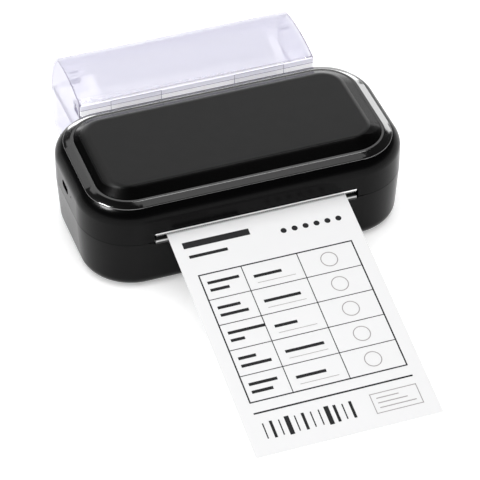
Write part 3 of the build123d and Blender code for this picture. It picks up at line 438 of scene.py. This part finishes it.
def ink_frame(mesh, low, high, width):
    """The four sides of a rectangle."""
    (x0, y0), (x1, y1) = low, high
    for a, b in (((x0, y0), (x1, y0)), ((x1, y0), (x1, y1)), ((x1, y1), (x0, y1)),
                 ((x0, y1), (x0, y0))):
        ink_strip(mesh, a, b, width)


def ink_circle(mesh, centre, radius, sides):
    turns = [2 * math.pi * index / sides for index in range(sides)]
    return [mesh.verts.new(on_sheet(centre[0] + radius * math.cos(turn),
                                    centre[1] + radius * math.sin(turn)))
            for turn in turns]


def ink_ring(mesh, centre, radius, width, sides=40):
    inner = ink_circle(mesh, centre, radius - width / 2, sides)
    outer = ink_circle(mesh, centre, radius + width / 2, sides)
    for index in range(sides):
        after = (index + 1) % sides
        mesh.faces.new((inner[index], outer[index], outer[after], inner[after]))


def ink_disc(mesh, centre, radius, sides=24):
    mesh.faces.new(ink_circle(mesh, centre, radius, sides))


def ink_piece(name, draw, material):
    """A layer of print that one function draws, facing up and off the sheet."""
    mesh = bmesh.new()
    draw(mesh)
    bmesh.ops.recalc_face_normals(mesh, faces=mesh.faces)
    data = bpy.data.meshes.new(name)
    mesh.to_mesh(data)
    mesh.free()
    for polygon in data.polygons:
        if polygon.normal.z < 0:
            polygon.flip()
    data.materials.append(material)
    piece = bpy.data.objects.new(name, data)
    bpy.context.scene.collection.objects.link(piece)
    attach(piece, "base")


# The print is a blank table, in millimetres on the sheet: two heading bars, a row of discs, a
# grid of cells with short bars and rings, a rule, a row of upright bars and a small corner box
HEADINGS = ((139.0, 34.0, 4.2), (131.0, 20.0, 2.0))
DISC_COUNT, DISC_PITCH, DISC_RADIUS, DISC_Y = 6, 6.4, 1.7, 134.5
GRID_LEFT, GRID_RIGHT = -44.0, 44.0
GRID_LINES = (118.0, 101.0, 84.0, 67.0, 50.0, 33.0)
COLUMN_LINES = (-20.0, 12.0)
FRAME_WIDTH, LINE_WIDTH = 0.8, 0.5
CELL_BARS = ((16.0, 9.0), (11.0, 14.0), (19.0, 6.0), (8.0, 15.0), (14.0, 10.0))
LEFT_CELL_X, MIDDLE_CELL_X, MIDDLE_CELL_END = -40.0, -14.5, 7.0
BAR_WIDTH, BAR_DROP, BAR_PITCH = 1.9, 6.0, 5.0
HAIRLINE_WIDTH, HAIRLINE_DROP = 0.35, 13.0
RING_X, RING_DROP, RING_RADIUS, RING_WIDTH = 28.0, 8.5, 4.6, 0.55
RULE_Y, RULE_WIDTH = 26.0, 1.0
UPRIGHT_WIDTHS = (0.7, 1.6, 0.7, 2.6, 0.7, 1.6, 0.7, 0.7, 2.6, 1.6, 0.7, 1.6)
UPRIGHT_PITCH, UPRIGHT_FOOT, UPRIGHT_HEAD = 4.4, 10.0, 19.0
BOX_LOW, BOX_HIGH = (18.0, 8.5), (GRID_RIGHT, 20.5)
NOTE_LEFT, NOTE_RIGHT, NOTE_FOOT, NOTE_PITCH, NOTE_WIDTH = 21.0, 41.0, 11.5, 3.0, 0.6


def draw_black_print(mesh):
    for y, length, width in HEADINGS:
        ink_strip(mesh, (GRID_LEFT, y), (GRID_LEFT + length, y), width)
    for index in range(DISC_COUNT):
        ink_disc(mesh, (GRID_RIGHT - 1.5 - index * DISC_PITCH, DISC_Y), DISC_RADIUS)
    foot, head = GRID_LINES[-1], GRID_LINES[0]
    ink_frame(mesh, (GRID_LEFT, foot), (GRID_RIGHT, head), FRAME_WIDTH)
    for y in GRID_LINES[1:-1]:
        ink_strip(mesh, (GRID_LEFT, y), (GRID_RIGHT, y), LINE_WIDTH)
    for x in COLUMN_LINES:
        ink_strip(mesh, (x, foot), (x, head), LINE_WIDTH)
    for line, (first, second) in zip(GRID_LINES, CELL_BARS):
        top = line - BAR_DROP
        for x, y, length in ((LEFT_CELL_X, top, first), (LEFT_CELL_X, top - BAR_PITCH, second),
                             (MIDDLE_CELL_X, top - BAR_PITCH / 2, second + 5.0)):
            ink_strip(mesh, (x, y), (x + length, y), BAR_WIDTH)
    ink_strip(mesh, (GRID_LEFT, RULE_Y), (GRID_RIGHT, RULE_Y), RULE_WIDTH)
    for index, width in enumerate(UPRIGHT_WIDTHS):
        x = GRID_LEFT + 2.0 + index * UPRIGHT_PITCH
        ink_strip(mesh, (x, UPRIGHT_FOOT), (x, UPRIGHT_HEAD), width)


def draw_pale_print(mesh):
    for line in GRID_LINES[:-1]:
        ink_ring(mesh, (RING_X, line - RING_DROP), RING_RADIUS, RING_WIDTH)
        y = line - HAIRLINE_DROP
        ink_strip(mesh, (MIDDLE_CELL_X, y), (MIDDLE_CELL_END, y), HAIRLINE_WIDTH)
    ink_frame(mesh, BOX_LOW, BOX_HIGH, LINE_WIDTH)
    for index in range(3):
        y = NOTE_FOOT + index * NOTE_PITCH
        ink_strip(mesh, (NOTE_LEFT, y), (NOTE_RIGHT - index * 4.0, y), NOTE_WIDTH)


def add_print(materials):
    ink_piece("sheet_print_black", draw_black_print, materials["ink"])
    ink_piece("sheet_print_grey", draw_pale_print, materials["pale_ink"])


# The bin; a setback is a distance from its front
BIN_DEPTH = 60.8 * MM
BIN_FRONT_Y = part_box("bin_tray")[0][1]
BIN_BACK_Y = BIN_FRONT_Y + BIN_DEPTH
BIN_HALF_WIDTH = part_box("bin_cover")[1][0]
BIN_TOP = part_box("bin_cover")[1][2]
COVER_SETBACK, COVER_FRONT_DROP, CROWN_SETBACK = 2.4 * MM, 3.5 * MM, 27.4 * MM
SHOULDER_SETBACK, SHOULDER_DROP = 14.9 * MM, 1.7 * MM
SWELL_SETBACK, SWELL_Z, HEEL_Z = 5.0 * MM, 45.0 * MM, 30.5 * MM
WINDOW_SETBACK, WINDOW_Z = 8.9 * MM, 48.0 * MM
WINDOW_HALF_Y, WINDOW_HALF_Z = 4.0 * MM, 3.0 * MM
COVER_WALL = 1.7 * MM
# The two small catches under the cover's top: their setback, and the range that they take up
# in depth, below the top and in from the cover's ends
CATCH_SETBACK, CATCH_HALF_DEPTH = 32.4 * MM, 1.7 * MM
CATCH_DROP, CATCH_INSET = (1.7 * MM, 3.4 * MM), (3.3 * MM, 8.7 * MM)
COVER_RIM_Z, TRAY_RIM_Z, TRAY_TAB_Z = 32.0 * MM, 25.0 * MM, 47.0 * MM
EDGE_INSET, EDGE_RADIUS = 0.25 * MM, 0.28 * MM
OUTLINE_RADIUS = 0.16 * MM
LIP_FRONT_Y = BIN_FRONT_Y + COVER_SETBACK
LIP_LOW, LIP_LINE, LIP_HIGH = 48.6 * MM, 52.2 * MM, 55.2 * MM
LIP_THICKNESS = 1.2 * MM
LIP_HALF_WIDTH = BIN_HALF_WIDTH - 0.2 * MM
LIP_CATCH_FROM, LIP_CATCH_TO = 22.0 * MM, 52.0 * MM
SIDES = ((-1, "left"), (1, "right"))

# The body, whose two halves meet at the seam
SEAM_Z, SHADE_LINE_Z = 32.5 * MM, 32.62 * MM
BODY_WIDTH, BODY_DEPTH, BODY_CORNER = 188.0 * MM, 98.0 * MM, 31.0 * MM
SLOT_HALF_WIDTH = 59.3 * MM
# The near-black bead along the seam is painted shade for the gap between the halves: its radius,
# how far it stands proud, and its corner steps
SHADE_LINE_RADIUS, SHADE_LINE_PROUD = 0.9 * MM, 0.12 * MM
SHADE_LINE_CORNER_STEPS = 16


def arc_points(a, b, c, count=14):
    """Points on the circle through three points (y, z), from the first to the last."""
    (ay, az), (by, bz), (cy, cz) = a, b, c
    d = 2 * (ay * (bz - cz) + by * (cz - az) + cy * (az - bz))
    a2, b2, c2 = ay * ay + az * az, by * by + bz * bz, cy * cy + cz * cz
    oy = (a2 * (bz - cz) + b2 * (cz - az) + c2 * (az - bz)) / d
    oz = (a2 * (cy - by) + b2 * (ay - cy) + c2 * (by - ay)) / d
    radius = math.hypot(ay - oy, az - oz)
    start = math.atan2(az - oz, ay - oy)
    middle = math.atan2(bz - oz, by - oy)
    end = math.atan2(cz - oz, cy - oy)
    while middle > start:
        middle -= 2 * math.pi
    while end > middle:
        end -= 2 * math.pi
    return [(oy + radius * math.cos(start + (end - start) * i / count),
             oz + radius * math.sin(start + (end - start) * i / count))
            for i in range(count + 1)]


def cover_section():
    """The outside of the bin's cover, from its front edge over the top and down the back."""
    front = (BIN_FRONT_Y + COVER_SETBACK, BIN_TOP - COVER_FRONT_DROP)
    crown = (BIN_FRONT_Y + CROWN_SETBACK, BIN_TOP)
    shoulder = (BIN_BACK_Y - SHOULDER_SETBACK, BIN_TOP - SHOULDER_DROP)
    swell = (BIN_BACK_Y - SWELL_SETBACK, SWELL_Z)
    heel = (BIN_BACK_Y, HEEL_Z)
    return arc_points(front, crown, shoulder) + arc_points(shoulder, swell, heel)[1:]


def bead(name, points, radius, material, body):
    """A thin round bead along a line of points, which rides on a body."""
    data = bpy.data.curves.new(name, "CURVE")
    data.dimensions = "3D"
    data.bevel_depth = radius
    data.bevel_resolution = 2
    line = data.splines.new("POLY")
    line.points.add(len(points) - 1)
    for point, place in zip(line.points, points):
        point.co = (*place, 1.0)
    data.materials.append(material)
    piece = bpy.data.objects.new(name, data)
    bpy.context.scene.collection.objects.link(piece)
    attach(piece, body)


def add_bin_edges(materials):
    """The dark line round each end of the bin's cover: painted shade where the clear edge looks
    dark.
    """
    for side, label in SIDES:
        x = side * (BIN_HALF_WIDTH - EDGE_INSET)
        outline = [(x, y, z) for y, z in cover_section()]
        bead("bin_edge_" + label, outline, EDGE_RADIUS, materials["rim"], "bin_lid")


def add_plate(name, low, high, material, body):
    """A flat plate between two corners, which rides on a body."""
    mesh = bmesh.new()
    bmesh.ops.create_cube(mesh, size=1.0)
    for vertex in mesh.verts:
        for axis in range(3):
            vertex.co[axis] = low[axis] + (vertex.co[axis] + 0.5) * (high[axis] - low[axis])
    data = bpy.data.meshes.new(name)
    mesh.to_mesh(data)
    mesh.free()
    data.materials.append(material)
    plate = bpy.data.objects.new(name, data)
    bpy.context.scene.collection.objects.link(plate)
    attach(plate, body)


def add_cover_lip(materials):
    """The cover's short front lip, which closes the gap over the tray's front wall."""
    back = LIP_FRONT_Y + LIP_THICKNESS
    # The lip and brow plates take finishes that carry painted light
    for name, low, high, finish in (("bin_cover_lip", LIP_LOW, LIP_LINE, "lip"),
                                    ("bin_cover_brow", LIP_LINE, LIP_HIGH, "brow")):
        add_plate(name, (-LIP_HALF_WIDTH, LIP_FRONT_Y, low), (LIP_HALF_WIDTH, back, high),
                  materials[finish], "bin_lid")
    line = [(side * LIP_HALF_WIDTH, LIP_FRONT_Y, LIP_LINE) for side in (-1, 1)]
    # A dark bead of painted shade along the line between lip and brow
    bead("bin_lip_line", line, OUTLINE_RADIUS, materials["rim"], "bin_lid")


def add_window_edges(materials):
    """The outline of the square window in each end of the bin's cover, a dark bead of painted
    shade.
    """
    middle_y = BIN_FRONT_Y + WINDOW_SETBACK
    half_y, half_z = WINDOW_HALF_Y - 0.1 * MM, WINDOW_HALF_Z - 0.1 * MM
    for side, label in SIDES:
        x = side * (BIN_HALF_WIDTH - EDGE_INSET)
        loop = [(x, middle_y + a * half_y, WINDOW_Z + b * half_z)
                for a, b in ((-1, -1), (1, -1), (1, 1), (-1, 1), (-1, -1))]
        bead("bin_window_" + label, loop, EDGE_INSET, materials["rim"], "bin_lid")


def add_seam_shade_line(materials):
    """A thin black bead along the seam on either side of the paper slot: painted shade for the dark
    gap between the two halves.
    """
    half_x = BODY_WIDTH / 2 - SHADE_LINE_RADIUS
    front = BODY_CENTRE_Y - BODY_DEPTH / 2 + SHADE_LINE_RADIUS - SHADE_LINE_PROUD
    rear = BODY_CENTRE_Y + BODY_DEPTH / 2 - SHADE_LINE_RADIUS
    for side, label in SIDES:
        points = [(side * half_x, rear - BODY_CORNER, SHADE_LINE_Z)]
        for index in range(SHADE_LINE_CORNER_STEPS + 1):
            turn = math.pi / 2 * index / SHADE_LINE_CORNER_STEPS
            points.append((side * (half_x - BODY_CORNER + BODY_CORNER * math.cos(turn)),
                           front + BODY_CORNER - BODY_CORNER * math.sin(turn), SHADE_LINE_Z))
        points.append((side * SLOT_HALF_WIDTH, front, SHADE_LINE_Z))
        bead("seam_shade_line_" + label, points, SHADE_LINE_RADIUS, materials["seam"], "base")


def add_catch_outlines(materials):
    """The outline of each of the two flush catches on the cover's front lip, a dark bead of painted
    shade.
    """
    front = LIP_FRONT_Y - 0.05 * MM
    low, high = LIP_LOW + 0.4 * MM, LIP_HIGH - 0.1 * MM
    for side, label in SIDES:
        inner, outer = side * LIP_CATCH_FROM, side * LIP_CATCH_TO
        outline = [(inner, front, low), (inner, front, high), (outer, front, high),
                   (outer, front, low)]
        bead("bin_catch_" + label, outline, OUTLINE_RADIUS, materials["rim"], "bin_lid")


def paint_faces(name, material, test):
    """Gives the faces of a CAD node that pass the test a finish of their own."""
    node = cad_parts[name]
    node.data.materials.append(material)
    index = len(node.data.materials) - 1
    for polygon in node.data.polygons:
        if test(polygon.center, polygon.normal):
            polygon.material_index = index


def lip_nose(centre, normal):
    """The slope between the paper lip's front and its top, which is painted pale as a painted
    highlight along the lip's edge.
    """
    return normal.z > 0.3 and normal.y < -0.3


def lip_body(centre, normal):
    """The paper lip's front and top."""
    return normal.y < -0.9 or normal.z > 0.9


def seam_face(centre, normal):
    """The faces of the body's two halves that meet at the seam, which get a matt near-black as
    painted shade in the gap.
    """
    return abs(normal.z) > 0.3 and abs(centre.z - SEAM_Z) < 0.6 * MM


def cover_rim(centre, normal):
    """The cover's front and lower edges, its windows' walls and the catches under its top, which
    get the darker edge colour as painted shade.
    """
    front = abs(centre.y - BIN_FRONT_Y - COVER_SETBACK) < 0.1 * MM
    below = normal.z < -0.9 and centre.z < COVER_RIM_Z
    in_window = (abs(centre.z - WINDOW_Z) < WINDOW_HALF_Z + 0.1 * MM
                 and abs(centre.y - BIN_FRONT_Y - WINDOW_SETBACK) < WINDOW_HALF_Y + 0.1 * MM
                 and abs(centre.x) > BIN_HALF_WIDTH - COVER_WALL)
    catch = (abs(centre.y - BIN_FRONT_Y - CATCH_SETBACK) < CATCH_HALF_DEPTH
             and CATCH_DROP[0] < BIN_TOP - centre.z < CATCH_DROP[1]
             and CATCH_INSET[0] < BIN_HALF_WIDTH - abs(centre.x) < CATCH_INSET[1])
    return front or below or catch or (in_window and abs(normal.x) < 0.1)


def tray_rim(centre, normal):
    """The tray's upper edges and the sides of its two hinge tabs, which get the darker edge colour
    as painted shade.
    """
    above = normal.z > 0.9 and centre.z > TRAY_RIM_Z
    tab_side = abs(normal.x) > 0.9 and centre.z > TRAY_TAB_Z
    return above or tab_side


RING_EDGE = 0.35 * MM
SHARP_ANGLE = math.radians(12.0)


def soften_edges(name, width):
    """Rounds a hard moulded edge a little, so that it catches the light."""
    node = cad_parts[name]
    weld = node.modifiers.new("weld", "WELD")
    weld.merge_threshold = 0.002 * MM
    bevel = node.modifiers.new("edge", "BEVEL")
    bevel.width = width
    bevel.segments = 3
    bevel.limit_method = "ANGLE"
    bevel.angle_limit = SHARP_ANGLE
    bevel.harden_normals = True


FLOOR_REACH = 3.0
FLOOR_TONE = 0.95
FLOOR_GLOW = 0.30


def add_floor():
    mesh = bpy.data.meshes.new("floor")
    corners = [(x * FLOOR_REACH, y * FLOOR_REACH, 0)
               for x, y in ((-1, -1), (1, -1), (1, 1), (-1, 1))]
    mesh.from_pydata(corners, [], [(0, 1, 2, 3)])
    floor = bpy.data.objects.new("floor", mesh)
    material, _, _, shader = new_material("pale_floor")
    shader.inputs["Base Color"].default_value = (FLOOR_TONE, FLOOR_TONE, FLOOR_TONE, 1.0)
    shader.inputs["Roughness"].default_value = 0.7
    shader.inputs["Emission Color"].default_value = (1.0, 1.0, 1.0, 1.0)
    shader.inputs["Emission Strength"].default_value = FLOOR_GLOW
    mesh.materials.append(material)
    bpy.context.scene.collection.objects.link(floor)


materials = build_materials()
add_camera()
set_world()
add_lights()
add_floor()
finish_nodes(materials)
soften_edges("bevel_ring", RING_EDGE)
add_print(materials)
add_bin_edges(materials)
add_cover_lip(materials)
add_catch_outlines(materials)
# Painted shade: a near-black bead along the seam
add_seam_shade_line(materials)
add_window_edges(materials)
# The paper lip's slope gets a pale painted highlight; its front and top are black
paint_faces("lower_lip", materials["lip_line"], lip_nose)
paint_faces("lower_lip", materials["frame"], lip_body)
# Painted shade: the faces in the seam gap get the matt near-black
paint_faces("lower_housing", materials["seam"], seam_face)
paint_faces("upper_housing", materials["seam"], seam_face)
# Painted shade on the clear cover's and tray's edges and tab sides
paint_faces("bin_cover", materials["rim"], cover_rim)
paint_faces("bin_tray", materials["rim"], tray_rim)
bpy.context.scene.view_settings.view_transform = "Standard"
